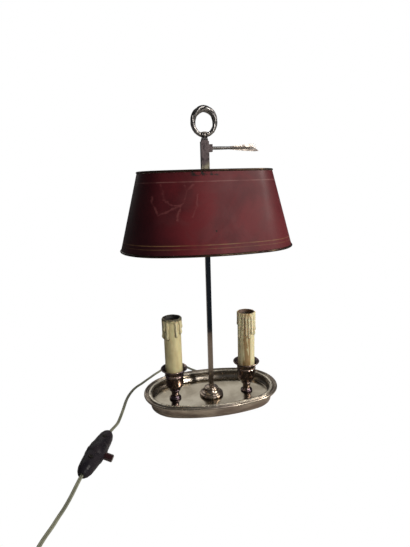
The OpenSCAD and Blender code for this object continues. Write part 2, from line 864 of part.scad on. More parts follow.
module lamp_wire(side) {
    x = cup_distance;
    z = (cover_top + nipple_low) / 2;
    points = [
        [side * x, 0, holder_low], [side * x, 0, 60], [side * x, 0, 30], [side * x, 0, 9],
        [side * (x - 0.5), 0, 6], [side * (x - 1.6), 0, 4.2], [side * (x - 3.2), 0.2, z],
        [side * (x - 8), 1, z], [side * 36, 7, z], [side * 20, 15, z], [side * 8, 21, z],
        [side * 6, 23.9, z]
    ];
    color("dimgray")
        tube(points, wire_radius, wire_radius, [side, 2, 0]);
}

module wire_left() {
    lamp_wire(-1);
}

module wire_right() {
    lamp_wire(1);
}

module terminal_block() {
    color("white")
        translate([-11, 24, cover_top + 0.1])
            cube([22, block_back - 24, under_floor - cover_top - 0.2]);
}

// ---- cord, bush, switch and plug ----

module cord_slot(length) {
    half = (cord_width - cord_height) / 2;
    for (side = [-1, 1])
        translate([side * half, 0, 0])
            cylinder(r = cord_height / 2 + 0.15, h = length);
    translate([-half, -cord_height / 2 - 0.15, 0])
        cube([2 * half, cord_height + 0.3, length]);
}

module cord_bush() {
    wall = skirt[1] - rebate[1];
    color("black")
        translate([0, rebate[1], bush_z])
            rotate([-90, 0, 0])
                difference() {
                    union() {
                        cylinder(r = bush_radius, h = wall + 0.2);
                        translate([0, 0, wall + 0.1])
                            cylinder(r = 4, h = 1.6);
                        translate([0, 0, wall + 1.6])
                            cylinder(r1 = 3.8, r2 = 3, h = bush_length - 1.6);
                    }
                    translate([0, 0, -1])
                        cord_slot(wall + bush_length + 2);
                }
}

module cord_lead() {
    color("olive")
        tube(lead_points, cord_width / 2, cord_height / 2);
}

module cord_tail() {
    color("olive")
        tube(tail_points, cord_width / 2, cord_height / 2);
}

module cord_end() {
    color("olive")
        tube(end_points, cord_width / 2, cord_height / 2);
}

module cord_coil() {
    color("olive")
        translate([coil_centre[0], coil_centre[1], tie_thickness + 0.1])
            rotate_extrude()
                translate([coil_inner, 0])
                    square([coil_outer - coil_inner, coil_height]);
}

module coil_tie() {
    w = coil_outer - coil_inner;
    t = tie_thickness;
    color("black")
        translate([coil_centre[0], coil_centre[1], 0])
            rotate([0, 0, 50])
                translate([coil_inner - t - 0.1, -2, 0])
                    difference() {
                        cube([w + 2 * t + 0.2, 4, coil_height + 2 * t + 0.2]);
                        translate([t, -1, t])
                            cube([w + 0.2, 6, coil_height + 0.2]);
                    }
}

module at_switch() {
    translate([switch_centre[0], switch_centre[1], switch_radius])
        rotate([0, 0, switch_turn])
            rotate([switch_roll, 0, 0])
                children();
}

// The torpedo outline, from one nose to the other.
module switch_outline() {
    h = switch_length / 2;
    r = switch_radius;
    polygon([
        [0, -h], [3.6, -h], [5.4, -h + 1.4], [7.6, -h + 5], [9.2, -h + 10], [10.2, -h + 18],
        [r - 0.6, -9], [r, -8], [r, 8], [r - 0.6, 9], [10.2, h - 18], [9.2, h - 10],
        [7.6, h - 5], [5.4, h - 1.4], [3.6, h], [0, h]
    ]);
}

// The torpedo with its cord passages, contact chamber, bar bore and screw holes.
module switch_body() {
    difference() {
        rotate([0, 90, 0])
            rotate_extrude()
                switch_outline();
        for (side = [-1, 1])
            rotate([0, side * 90, 0])
                translate([0, 0, 22])
                    cylinder(r = cord_width / 2 + 0.35, h = switch_length);
        cube([50, 13, 11], center = true);
        rotate([90, 0, 0])
            cylinder(r = bar_radius + running, h = 3 * switch_radius, center = true);
        for (side = [-1, 1])
            translate([side * 20, 0, -switch_radius]) {
                cylinder(r = 1.5 + seat, h = 2 * switch_radius);
                translate([0, 0, 2 * switch_radius - 2.6])
                    cylinder(r = 2.6 + seat, h = 4);
            }
    }
}

module switch_upper_shell() {
    color("black")
        at_switch()
            intersection() {
                switch_body();
                translate([-50, -50, 0])
                    cube([100, 100, 50]);
            }
}

module switch_lower_shell() {
    color("black")
        at_switch()
            intersection() {
                switch_body();
                translate([-50, -50, -50])
                    cube([100, 100, 50]);
            }
}

module switch_bar() {
    color("darkred")
        at_switch()
            translate([0, -switch_radius, 0])
                rotate([-90, 0, 0])
                    union() {
                        cylinder(r1 = bar_radius - 0.6, r2 = bar_radius, h = 0.6);
                        translate([0, 0, 0.6])
                            cylinder(r = bar_radius, h = 2 * switch_radius + bar_proud - 1.4);
                        translate([0, 0, 2 * switch_radius + bar_proud - 0.8])
                            cylinder(r1 = bar_radius, r2 = bar_radius - 0.8, h = 0.8);
                    }
}

module switch_screws() {
    color("goldenrod")
        at_switch()
            for (side = [-1, 1])
                translate([side * 20, 0, -switch_radius + 4]) {
                    cylinder(r = 1.5, h = 2 * switch_radius - 6.6);
                    translate([0, 0, 2 * switch_radius - 6.6])
                        cylinder(r = 2.6, h = 1.4);
                }
}

module switch_contacts() {
    color("gold")
        at_switch()
            for (side = [-1, 1])
                translate([side * 11.5 - 3.5, -6.3, -5.4])
                    cube([7, 12.6, 3]);
}

// The flat body narrows in steps towards the cord.
module plug_body() {
    thick = plug_thickness;
    neck = plug_length * 0.45;
    color("black")
        translate([plug_back, end_points[4][1], thick / 2])
            difference() {
                union() {
                    translate([1 - relief_length, 0, 0])
                        rotate([0, 90, 0])
                            cylinder(r1 = 3.4, r2 = 5, h = relief_length);
                    translate([0, 0, -thick / 2])
                        linear_extrude(thick)
                            polygon([
                                [0, -5.5], [neck, -plug_width / 2 + 1.5], [neck + 2, -plug_width / 2],
                                [plug_length - 1, -plug_width / 2], [plug_length, -plug_width / 2 + 1],
                                [plug_length, plug_width / 2 - 1], [plug_length - 1, plug_width / 2],
                                [neck + 2, plug_width / 2], [neck, plug_width / 2 - 1.5], [0, 5.5]
                            ]);
                }
                for (side = [-1, 1])
                    translate([plug_length - pin_depth, side * pin_spacing / 2, 0])
                        rotate([0, 90, 0])
                            cylinder(r = pin_radius - 0.3 + seat, h = pin_depth + 1);
            }
}

module plug_pins() {
    color("silver")
        for (side = [-1, 1])
            translate([plug_face, end_points[4][1] + side * pin_spacing / 2, plug_thickness / 2])
                rotate([0, 90, 0]) {
                    translate([0, 0, -pin_depth])
                        cylinder(r = pin_radius - 0.3, h = pin_depth + 1);
                    translate([0, 0, pin_step])
                        cylinder(r = pin_radius, h = pin_length - pin_step - pin_chamfer);
                    translate([0, 0, pin_length - pin_chamfer])
                        cylinder(r1 = pin_radius, r2 = pin_radius - pin_chamfer, h = pin_chamfer);
                }
}

base_tray();
tray_floor();
rim_moulding();
base_cover();
felt_pad();
stem_foot();
stem_rod();
stem_nut();
finial_ring();
carrier_sleeve();
shade_spider();
shade_shell();
shade_top_wire();
shade_bottom_wire();
arrow_screw();
candle_cup_left();
candle_cup_right();
screwed_tubes();
tube_nuts();
holder_brackets();
lampholders();
lamp_threads();
lamp_contacts();
candle_sleeve_left();
candle_sleeve_right();
wire_left();
wire_right();
terminal_block();
cord_bush();
cord_lead();
cord_tail();
cord_end();
cord_coil();
coil_tie();
switch_upper_shell();
switch_lower_shell();
switch_bar();
switch_screws();
switch_contacts();
plug_body();
plug_pins();
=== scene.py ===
"""Looks of the two-light bouillotte lamp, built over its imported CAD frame.

Lengths are in millimetres. The looks, the floor and the lights are in metres, as Blender gives a
material its coordinates in metres.
"""

import math

import bpy
import numpy as np
from mathutils import Matrix, Vector


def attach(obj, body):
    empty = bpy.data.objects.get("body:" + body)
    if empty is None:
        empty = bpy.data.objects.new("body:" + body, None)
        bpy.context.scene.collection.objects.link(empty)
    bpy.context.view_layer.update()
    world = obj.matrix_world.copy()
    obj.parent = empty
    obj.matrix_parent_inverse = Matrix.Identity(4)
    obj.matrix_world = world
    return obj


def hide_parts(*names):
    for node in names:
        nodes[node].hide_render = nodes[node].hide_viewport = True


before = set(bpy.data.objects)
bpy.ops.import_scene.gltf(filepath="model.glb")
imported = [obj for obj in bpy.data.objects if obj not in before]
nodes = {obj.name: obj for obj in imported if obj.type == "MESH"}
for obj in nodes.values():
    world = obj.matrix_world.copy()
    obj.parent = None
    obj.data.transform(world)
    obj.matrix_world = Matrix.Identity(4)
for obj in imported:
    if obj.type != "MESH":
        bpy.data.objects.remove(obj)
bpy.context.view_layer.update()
scene = bpy.context.scene
MM = 0.001
TURN = 2 * math.pi


# ---- sizes that follow the CAD ----

TRIANGLE = (7, 24, 25)  # sides of the triangle between the centres of an oval's arcs
RIM = (105, 63)  # half length and half width of the tray over its lip
FLOOR = 8.0
FLANGE = 18.8  # height of the flange that carries the moulding
SHADE = (123.5, 78.5)  # half length and half width of the shade at its lower edge
SHADE_LOW = 243.5
SHADE_RISE = 106.0
SHADE_TAPER = 28.5
SHEET = 0.8
EDGE_ROLL = 1.55  # radius of the shade's rolled edges, 0.05 under the CAD's
LIGHTS = {"left": -57, "right": 57}  # where the cups stand along the tray
SLEEVE_FOOT = 33.5
SLEEVE_TOP = 140.0
SLEEVE_RADIUS = 13.0
CARD = 0.9  # wall of the candle sleeves
ROD_TOP = 391.3
BOSS_END = 10.5  # from the stem's axis to the end of the clamp boss
BOSS_HEIGHT = 380.4  # of the arrow screw's axis


# ---- camera ----


def place_camera(azimuth, distance, height, heading, pitch, roll, focal):
    """The camera stands at an azimuth from the front, and its heading is measured from the lamp."""
    at = math.radians(azimuth)
    to = math.radians(azimuth + heading)
    tilt = math.radians(pitch)
    lean = math.radians(roll)
    spot = np.array([-math.sin(at) * distance, -math.cos(at) * distance, height])
    ahead = np.array([math.sin(to), math.cos(to), 0])
    right = np.array([math.cos(to), -math.sin(to), 0])
    up = np.array([0, 0, 1])
    view = ahead * math.cos(tilt) - up * math.sin(tilt)
    top = ahead * math.sin(tilt) + up * math.cos(tilt)
    side = right * math.cos(lean) + top * math.sin(lean)
    top = top * math.cos(lean) - right * math.sin(lean)
    data = bpy.data.cameras.new("camera")
    data.lens = focal
    data.sensor_width = 36
    data.clip_start, data.clip_end = 0.01, 50
    matrix = Matrix.Identity(4)
    for column, axis in enumerate((side, top, -view)):
        for row in range(3):
            matrix[row][column] = axis[row]
    matrix.translation = spot * MM
    camera = bpy.data.objects.new("camera", data)
    camera.matrix_world = matrix
    scene.collection.objects.link(camera)
    scene.camera = camera


place_camera(
    azimuth=9.66, distance=583.31, height=333.78, heading=-0.45, pitch=12.62, roll=-1.69, focal=26.631
)


# ---- surfaces ----


class Look:
    """A material built up from a few layers, in the coordinates of its object."""

    def __init__(self, name, metal=0.0):
        self.material = bpy.data.materials.new(name)
        self.material.use_nodes = True
        self.tree = self.material.node_tree
        self.tree.nodes.clear()
        self.shader = self.tree.nodes.new("ShaderNodeBsdfPrincipled")
        end = self.tree.nodes.new("ShaderNodeOutputMaterial")
        self.tree.links.new(self.shader.outputs[0], end.inputs[0])
        self.place = self.add("TexCoord").outputs["Object"]
        self.x, self.y, self.z = self.add("SeparateXYZ", {"Vector": self.place}).outputs
        self.set("Metallic", metal)

    def put(self, socket, value):
        if isinstance(value, bpy.types.NodeSocket):
            self.tree.links.new(value, socket)
        elif socket.type == "RGBA" and len(value) == 3:
            socket.default_value = (*value, 1)
        else:
            socket.default_value = value

    def set(self, name, value):
        self.put(self.shader.inputs[name], value)

    def add(self, kind, inputs=None, **properties):
        node = self.tree.nodes.new("ShaderNode" + kind)
        for name, value in properties.items():
            setattr(node, name, value)
        for name, value in (inputs or {}).items():
            self.put(node.inputs[name], value)
        return node

    def math(self, operation, a, b=0.0, clamp=False):
        return self.add("Math", {0: a, 1: b}, operation=operation, use_clamp=clamp).outputs[0]

    def times(self, a, b, clamp=False):
        return self.math("MULTIPLY", a, b, clamp)

    def vector(self, operation, a, b=(0, 0, 0)):
        """A vector, or the number that a dot product or a length gives."""
        made = self.add("VectorMath", {0: a, 1: b}, operation=operation)
        return made.outputs["Value" if operation in ("DOT_PRODUCT", "LENGTH") else "Vector"]

    def noise(self, scale, detail=4, stretch=(1, 1, 1), shift=(0, 0, 0), warp=0.0):
        """Noise from about 0.25 to 0.75. Scale is in waves per metre."""
        inputs = {"Vector": self.place, "Scale": stretch, "Location": shift}
        place = self.add("Mapping", inputs).outputs[0]
        inputs = {"Vector": place, "Scale": scale, "Detail": detail, "Roughness": 0.55, "Distortion": warp}
        return self.add("TexNoise", inputs).outputs[0]

    def ease(self, value, low, high, start=0.0, end=1.0):
        """A smooth step from start to end as value goes from low to high."""
        inputs = {"Value": value, "From Min": low, "From Max": high, "To Min": start, "To Max": end}
        return self.add("MapRange", inputs, interpolation_type="SMOOTHSTEP").outputs[0]

    def band(self, value, centre, half, soft):
        """1 within half of the centre, 0 further off than half + soft."""
        off = self.math("ABSOLUTE", self.math("SUBTRACT", value, centre))
        return self.ease(off, half, half + soft, 1.0, 0.0)

    def wavy_height(self, noise, reach, low=0.3, high=0.7):
        """The height, more or less up to reach, so that what follows it has no straight edge."""
        return self.math("ADD", self.z, self.ease(noise, low, high, -reach, reach))

    def mix(self, share, a, b):
        node = self.add("Mix", data_type="RGBA")
        self.put(node.inputs[0], share)
        self.put(node.inputs[6], a)
        self.put(node.inputs[7], b)
        return node.outputs[2]

    def roughen(self, noise, low, high):
        self.set("Roughness", self.ease(noise, 0.3, 0.7, low, high))

    def bump(self, height, strength):
        inputs = {"Height": height, "Strength": strength, "Distance": 0.0004}
        self.set("Normal", self.add("Bump", inputs).outputs[0])


def worn(name, light, dark, metal=1.0, rough=(0.3, 0.5), scale=60, grain=0.15, stretch=(1, 1, 1)):
    """A plain surface with cloudy patches of wear and a fine grain."""
    look = Look(name, metal)
    clouds = look.noise(scale, 5, stretch, warp=0.4)
    look.set("Base Color", look.mix(look.ease(clouds, 0.36, 0.66), light, dark))
    look.roughen(clouds, *rough)
    look.bump(look.noise(scale * 14, 3, stretch), grain)
    return look


def dull(name, light, dark, **values):
    """A worn surface that isn't bare metal."""
    return worn(name, light, dark, metal=0.0, **values)


silver = worn("silver", (0.46, 0.42, 0.34), (0.33, 0.29, 0.225), rough=(0.13, 0.24), scale=26, grain=0.05)
lip = worn("lip", (0.40, 0.345, 0.28), (0.20, 0.165, 0.14), rough=(0.24, 0.4), scale=45, grain=0.12)
skirt = worn(
    "skirt", (0.50, 0.43, 0.355), (0.27, 0.215, 0.18),
    rough=(0.32, 0.5), scale=22, grain=0.2, stretch=(1, 1, 5),
)
wall = worn("wall", (0.48, 0.42, 0.35), (0.20, 0.17, 0.14), rough=(0.2, 0.34), scale=40, grain=0.1)
tarnish = worn(
    "tarnish", (0.34, 0.255, 0.215), (0.07, 0.05, 0.065), rough=(0.16, 0.27), scale=48, grain=0.06
)
gunmetal = worn(
    "gunmetal", (0.22, 0.208, 0.20), (0.055, 0.052, 0.053), rough=(0.22, 0.34), scale=40, grain=0.03
)
pewter = worn("pewter", (0.76, 0.72, 0.67), (0.32, 0.30, 0.285), rough=(0.22, 0.36), scale=140, grain=0.1)
bronze = worn("bronze", (0.52, 0.45, 0.39), (0.17, 0.145, 0.135), rough=(0.3, 0.45), scale=120, grain=0.1)
turned = worn("turned", (0.44, 0.36, 0.29), (0.19, 0.15, 0.135), rough=(0.2, 0.34), scale=48, grain=0.08)
brass = worn("brass", (0.60, 0.42, 0.16), (0.36, 0.23, 0.09), rough=(0.25, 0.45))
screw = worn("screw", (0.035, 0.031, 0.027), (0.02, 0.018, 0.017), scale=300)
steel = worn("steel", (0.34, 0.33, 0.31), (0.18, 0.17, 0.16))
gilt = worn("gilt", (0.060, 0.042, 0.028), (0.022, 0.012, 0.011), scale=50, grain=0.25)
pins = worn("pins", (0.66, 0.62, 0.52), (0.48, 0.44, 0.36), rough=(0.2, 0.35))
inside = dull("inside", (0.78, 0.75, 0.68), (0.62, 0.58, 0.50), rough=(0.45, 0.6), scale=30)
holder = dull("holder", (0.012, 0.011, 0.011), (0.03, 0.027, 0.025))
board = dull("board", (0.30, 0.22, 0.14), (0.22, 0.16, 0.10), rough=(0.7, 0.9))
felt = dull("felt", (0.05, 0.07, 0.04), (0.035, 0.05, 0.03), rough=(0.9, 1.0), scale=200, grain=0.8)
cover = dull("cover", (0.32, 0.31, 0.29), (0.26, 0.25, 0.23), rough=(0.5, 0.7))
ceramic = dull("ceramic", (0.75, 0.74, 0.70), (0.66, 0.64, 0.60))
bakelite = dull("bakelite", (0.010, 0.009, 0.012), (0.018, 0.014, 0.018), rough=(0.3, 0.44), grain=0.05)
bakelite.set("Specular IOR Level", 0.12)
rubber = dull("rubber", (0.014, 0.013, 0.013), (0.025, 0.024, 0.022), rough=(0.35, 0.5))
button = dull("button", (0.022, 0.006, 0.007), (0.014, 0.005, 0.006), rough=(0.12, 0.2))
flex = dull("flex", (0.21, 0.21, 0.15), (0.13, 0.135, 0.095), rough=(0.4, 0.6), scale=70)


# ---- meshes ----


def piece(name, parts, looks, body, stands_for=(), sharp=40):
    """An object in the frame, of parts laid together: (points, faces, look index or list of them)."""
    points, faces, indices = [], [], []
    for part_points, part_faces, index in parts:
        base = len(points)
        points += [tuple(point) for point in np.asarray(part_points, float) * MM]
        faces += [tuple(base + corner for corner in face) for face in part_faces]
        indices += [index] * len(part_faces) if isinstance(index, int) else index
    mesh = bpy.data.meshes.new(name)
    mesh.from_pydata(points, [], faces)
    mesh.polygons.foreach_set("material_index", indices)
    mesh.polygons.foreach_set("use_smooth", [True] * len(faces))
    mesh.set_sharp_from_angle(angle=math.radians(sharp))
    mesh.update()
    for look in looks:
        mesh.materials.append(look.material)
    made = bpy.data.objects.new(name, mesh)
    scene.collection.objects.link(made)
    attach(made, body)
    if stands_for:
        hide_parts(*stands_for)
    return made


def loft(rings, loop_along=False, caps=True):
    """Quads through rings of points, each ring closed. Caps close a loft whose ends stay open."""
    rings = np.asarray(rings, float)
    count, sides = rings.shape[:2]
    faces = []
    for i in range(count if loop_along else count - 1):
        a, b = i * sides, (i + 1) % count * sides
        for s in range(sides):
            t = (s + 1) % sides
            faces.append((a + s, a + t, b + t, b + s))
    if caps and not loop_along:
        faces.append(tuple(range(sides - 1, -1, -1)))
        faces.append(tuple((count - 1) * sides + s for s in range(sides)))
    return rings.reshape(-1, 3), faces


def round_ring(radius, height, angles, x=0.0):
    """Points round an upright line at x. The radius and the height may change with the angle."""
    return np.stack([x + radius * np.cos(angles), radius * np.sin(angles), height + 0 * angles], 1)


def lathe(profile, centre=(0, 0, 0), sides=96):
    """A turned piece from (radius, height) points, closed over the axis at both ends."""
    angles = np.linspace(0, TURN, sides, endpoint=False)
    points, faces = loft([round_ring(radius, height, angles) for radius, height in profile])
    return points + centre, faces


def ball(centre, radii, tilt=0):
    """An egg shape, tilted about the Y axis by degrees."""
    sides = 24
    slopes = np.linspace(-math.pi / 2, math.pi / 2, sides // 2 + 1)[1:-1]
    points, faces = lathe([(math.cos(t), math.sin(t)) for t in slopes], sides=sides)
    c, s = math.cos(math.radians(tilt)), math.sin(math.radians(tilt))
    tilted = (points * radii) @ np.array([[c, 0, s], [0, 1, 0], [-s, 0, c]]).T
    return tilted + centre, faces


def arc(centre, radius, start, end, steps):
    """Points of an arc from one angle in degrees to another."""
    angles = np.radians(np.linspace(start, end, steps))
    return [(centre[0] + radius * math.cos(a), centre[1] + radius * math.sin(a)) for a in angles]


def curve(points, steps=4):
    """A smooth line through the points, with steps between each two."""
    p = np.asarray(points, float)
    p = np.vstack([2 * p[0] - p[1], p, 2 * p[-1] - p[-2]])
    made = []
    for before, start, end, after in zip(p, p[1:], p[2:], p[3:]):
        for t in np.arange(steps) / steps:
            slope = (end - before) * t
            square = (2 * before - 5 * start + 4 * end - after) * t**2
            cube = (3 * start - before - 3 * end + after) * t**3
            made.append((2 * start + slope + square + cube) / 2)
    return np.array(made + [p[-2]])


def oval(half_length, half_width, count):
    """Evenly spaced points and outward normals of a four-centre oval, and its length all round."""
    near, far, direct = TRIANGLE
    end_centre = (half_length - half_width) * near / (near + far - direct)
    side_centre = end_centre * far / near
    end_radius, side_radius = half_length - end_centre, half_width + side_centre
    opening = math.acos(near / direct)
    lengths = [2 * opening * end_radius, (math.pi - 2 * opening) * side_radius] * 2
    spots = []
    for i in range(count):
        along = i / count * sum(lengths)
        quarter = 0
        while along > lengths[quarter]:
            along -= lengths[quarter]
            quarter += 1
        if quarter % 2 == 0:
            angle = along / end_radius - opening
            x, y = end_centre + end_radius * math.cos(angle), end_radius * math.sin(angle)
        else:
            angle = opening + along / side_radius
            x, y = side_radius * math.cos(angle), side_radius * math.sin(angle) - side_centre
        flip = -1 if quarter > 1 else 1
        spots.append((flip * x, flip * y, flip * math.cos(angle), flip * math.sin(angle)))
    return np.array(spots), sum(lengths)


def round_oval(spots, profile):
    """Rings of an oval sweep: each profile point is a distance outwards and one or many heights."""
    x, y, out_x, out_y = spots.T
    return [np.stack([x + out_x * out, y + out_y * out, height + 0 * x], 1) for out, height in profile]


def wrapped(angle):
    """The same direction as an angle between minus and plus half a turn."""
    return (angle + math.pi) % TURN - math.pi


def half_round(v):
    """Height at v of a half circle of radius 1, and 0 outside it."""
    return math.sqrt(max(0, 1 - v * v))


def show(node, look, bevel=0.0):
    """A CAD node kept as it is, with a finish and a softened edge."""
    kept = nodes[node]
    kept.data.materials.clear()
    kept.data.materials.append(look.material)
    if bevel:
        weld = kept.modifiers.new("weld", "WELD")
        weld.merge_threshold = 0.01 * MM
        soft = kept.modifiers.new("soft", "BEVEL")
        soft.width = bevel * MM
        soft.segments = 2
        soft.limit_method = "ANGLE"
        soft.angle_limit = math.radians(40)
        soft.harden_normals = True


# ---- tray ----

SILVER, LIP, SKIRT, WALL = range(4)


def tray_profile():
    """Up the skirt, round the lip, over the flange and down the coved wall of the dish."""
    outer = [(-12, 0.5), (-10.3, 0.4), (-10, 0.7)] + arc((-6.4, 12.4), 3.6, 180, 108, 6)
    edge = [(-4.6, 16.5), (-2.9, 17.05)] + arc((-1.9, 19.1), 1.9, -90, 105, 16)
    gutter = [(-3.2, 20.5), (-3.5, 19.6), (-4.1, 19.25), (-4.8, 19.35), (-5.2, 20.0)]
    gutter += [(-5.7, 20.3), (-6.2, 20.0)]
    flange = [(-6.5, FLANGE), (-11.5, FLANGE), (-11.75, 19.4), (-12.1, 19.3), (-12.3, 18.2)]
    cove = [(-12.1, 16.4), (-12.3, 14.2), (-12.9, 12.2), (-13.7, 10.9), (-14.3, 10.2)]
    cove += [(-14.5, 9.4), (-14.5, 8.7), (-14.8, 8.2), (-15.5, FLOOR)]
    return outer + edge + gutter + flange + cove


def tray_finish(x, z):
    """Index of the look at a point of the tray's section."""
    if x < -11.6 and z > FLOOR:
        return WALL
    return SKIRT if -12 < x <= -9.9 and z < 13 else LIP


def tray():
    profile = tray_profile()
    spots, _ = oval(*RIM, 420)
    points, faces = loft(round_oval(spots, profile))
    middles = [np.add(a, b) / 2 for a, b in zip(profile, profile[1:])]
    finishes = [tray_finish(x, z) for x, z in middles for _ in spots]
    piece(
        "tray", [(points, faces, finishes + [LIP, SILVER])], [silver, lip, skirt, wall],
        "root", ["base_tray", "tray_floor"], sharp=50,
    )


def reeds_and_ribbon(v, phase):
    """Height of three reeds tied crosswise: v is -1 to 1 across them, phase 0 to 1 from tie to tie."""
    reed_half, reed_middles = 0.31, (-0.64, 0, 0.64)
    ribbon_half, slant, tie_half = 0.42, 5.2, 0.3
    arch = half_round(v)
    reeds = 0.35 + 1.05 * arch + 0.45 * max(half_round((v - c) / reed_half) for c in reed_middles)
    along = np.abs(phase - 0.5)
    off_ribbon = np.abs(along * slant - abs(v))
    ribbon = np.clip(1 - (off_ribbon / ribbon_half) ** 4, 0, 1) * (along < tie_half)
    tied = np.maximum(reeds, 0.4 + 1.15 * arch + 0.5 * ribbon**0.3)
    return np.where(ribbon > 0, tied, reeds)


def relief_look():
    """Rubbed silver on what stands up, and dirt in the hollows."""
    look = Look("relief", 1.0)
    rubbed = look.times(look.ease(look.z, 0.0196, 0.0207), look.ease(look.noise(50), 0.22, 0.5))
    look.set("Base Color", look.mix(rubbed, (0.12, 0.098, 0.08), (0.90, 0.83, 0.69)))
    look.roughen(look.noise(40), 0.22, 0.38)
    look.bump(look.noise(900), 0.1)
    return look


def moulding():
    """The reed-and-ribbon moulding along the middle of the flange."""
    inset, half, tie_pitch = 9.0, 2.1, 9.0
    spots, length = oval(RIM[0] - inset, RIM[1] - inset, 1300)
    phase = (np.arange(len(spots)) / len(spots) * round(length / tie_pitch)) % 1
    profile = []
    for v in np.linspace(-1, 1, 23):
        height = np.minimum(reeds_and_ribbon(v, phase), half) if abs(v) < 1 else 0
        profile.append((-v * half, FLANGE + height))
    piece(
        "moulding", [(*loft(round_oval(spots, profile), caps=False), 0)], [relief_look()],
        "root", ["rim_moulding"], sharp=60,
    )


tray()
moulding()
show("base_cover", board)
show("felt_pad", felt)


# ---- stem ----


def foot():
    """The turned foot, from its underside up to where the stem goes in."""
    base = FLOOR + 0.02
    profile = [(0, base), (17.4, base)] + arc((16.5, 10), 2.0, -75, 80, 10)
    profile += [(16.2, 12.05), (15.7, 12.3), (15.4, 12.9)] + arc((14.3, 13.0), 1.1, 0, 75, 4)
    profile += [(13.7, 14.4), (12.6, 15.0), (11.7, 15.9), (11.1, 17.0), (10.6, 18.2)]
    profile += arc((9.6, 19.4), 1.25, -60, 90, 8) + [(8.9, 20.9), (8.6, 21.6), (7.9, 22), (0, 22)]
    piece("foot", [(*lathe(profile), 0)], [turned], "root", ["stem_foot"])


def rod_look_with_painted_shade():
    """Brown by the foot, nearly black from about 130 mm up; the darkening upwards is painted shade."""
    look = Look("rod", 1.0)
    height = look.wavy_height(look.noise(30, 3), 0.012)
    # painted shade and reflection: the stem darkens upwards, as it mirrors the shade's dark underside
    brown = look.mix(look.ease(height, 0.06, 0.15), (0.25, 0.205, 0.17), (0.13, 0.10, 0.085))
    look.set("Base Color", look.mix(look.ease(height, 0.098, 0.13), brown, (0.014, 0.018, 0.025)))
    look.roughen(look.noise(60, 4, (1, 1, 0.2)), 0.2, 0.36)
    look.bump(look.noise(500, 3, (1, 1, 0.1)), 0.1)
    return look


foot()
show("stem_rod", rod_look_with_painted_shade(), 0.5)
show("stem_nut", brass)


# ---- finial ring ----

RING_RISE = 17.4  # from the ring's centre up to the middle of its bar
RING_REACH = 15.5  # and sideways
RING_THIN = 3.05  # radius of the bar at the ring's foot
RING_THICK = 4.75  # and at its top
RING_CENTRE = ROD_TOP + 3 + RING_RISE + RING_THIN
KNOT = ROD_TOP + 6.3


def beads(u, places, width):
    """Swellings of the ring's bar, at angles from its foot."""
    return sum(math.exp(-((wrapped(u - place) / width) ** 2)) for place in places)


def ring_section(u):
    """The ring's bar at an angle from its foot: thicker and fluted with a twist towards the top."""
    flute_depth, bead_height, slimmer, inwards = 0.26, 0.35, 0.25, 0.35
    rise = (1 - math.cos(u)) / 2
    fluted = min(1, max(0, (rise - 0.22) * 4))
    thick = RING_THIN + (RING_THICK - RING_THIN) * rise**1.5
    bead = beads(u, (0.85, -0.85), 0.055) + 0.7 * beads(u, (1.02, -1.02), 0.05)
    v = np.linspace(0, TURN, 48, endpoint=False)
    flute = 1 - fluted * flute_depth * (1 - np.abs(np.cos(1.5 * v + 3 * u))) ** 2
    radius = thick * flute + bead_height * bead - slimmer * (1 - fluted)
    out = radius * np.cos(v) - inwards * rise
    x, z = (RING_REACH + out) * math.sin(u), RING_CENTRE - (RING_RISE + out) * math.cos(u)
    return np.stack([x, radius * np.sin(v), z], 1)


def ribbon_knot():
    """Two folds of ribbon on each side of the ring's foot, the tie between them and a disc above it."""
    folds = []
    for side in (-1, 1):
        folds.append((*ball((side * 3.3, 0, KNOT + 0.6), (2.6, 3.9, 3.9), side * 24), 0))
        folds.append((*ball((side * 6.4, 0, KNOT + 1.9), (1.7, 3.6, 3.0), side * 40), 1))
    tie = ball((0, -0.4, KNOT - 0.2), (2.4, 4.9, 3.0))
    profile = [(0, 0.1), (3.6, 0.1), (4.4, 0.7), (4.5, 1.4), (3.8, 2.1), (2.0, 2.5), (0, 2.6)]
    disc = lathe(profile, (0, 0, KNOT + 2.2), 32)
    return [*folds, (*tie, 1), (*disc, 1)]


def stem_collar():
    """The square collar on the stem's top, with two beads in its throat."""
    levels = ((4.2, 0.02), (4.5, 0.2), (4.5, 1.0), (3.9, 1.4), (3.7, 2.5), (3.9, 3.0), (3.3, 4.2))
    corners = ((-1, -1), (1, -1), (1, 1), (-1, 1))
    rings = [[(x * half, y * half, ROD_TOP + rise) for x, y in corners] for half, rise in levels]
    throat = [(*ball((x, 0, ROD_TOP + 2.2), (1.55, 3.3, 1.5)), 0) for x in (-1.75, 1.75)]
    return [(*loft(rings), 0), *throat]


def ring():
    sections = [ring_section(u) for u in np.linspace(0, TURN, 160, endpoint=False)]
    parts = [(*loft(sections, True), 0), *ribbon_knot(), *stem_collar()]
    piece("ring", parts, [gunmetal, pewter], "root", ["finial_ring"], sharp=45)


ring()


# ---- shade carrier ----


def carrier_look():
    """Dark metal, with a painted reflection of the shade's top making the sleeve's lower end greenish."""
    look = Look("carrier", 1.0)
    height = look.wavy_height(look.noise(120, 3), 0.003)
    # painted reflection: greenish where the sleeve stands just above the shade
    sleeve_with_painted_reflection = look.mix(look.ease(height, 0.349, 0.364), (0.24, 0.22, 0.155), (0.085, 0.068, 0.07))
    stains = look.ease(look.noise(220), 0.45, 0.7)
    look.set("Base Color", look.mix(stains, sleeve_with_painted_reflection, (0.03, 0.025, 0.026)))
    look.roughen(look.noise(150), 0.3, 0.5)
    look.bump(look.noise(900), 0.2)
    return look


show("carrier_sleeve", carrier_look())
show("shade_spider", steel, 0.3)


# ---- shade ----

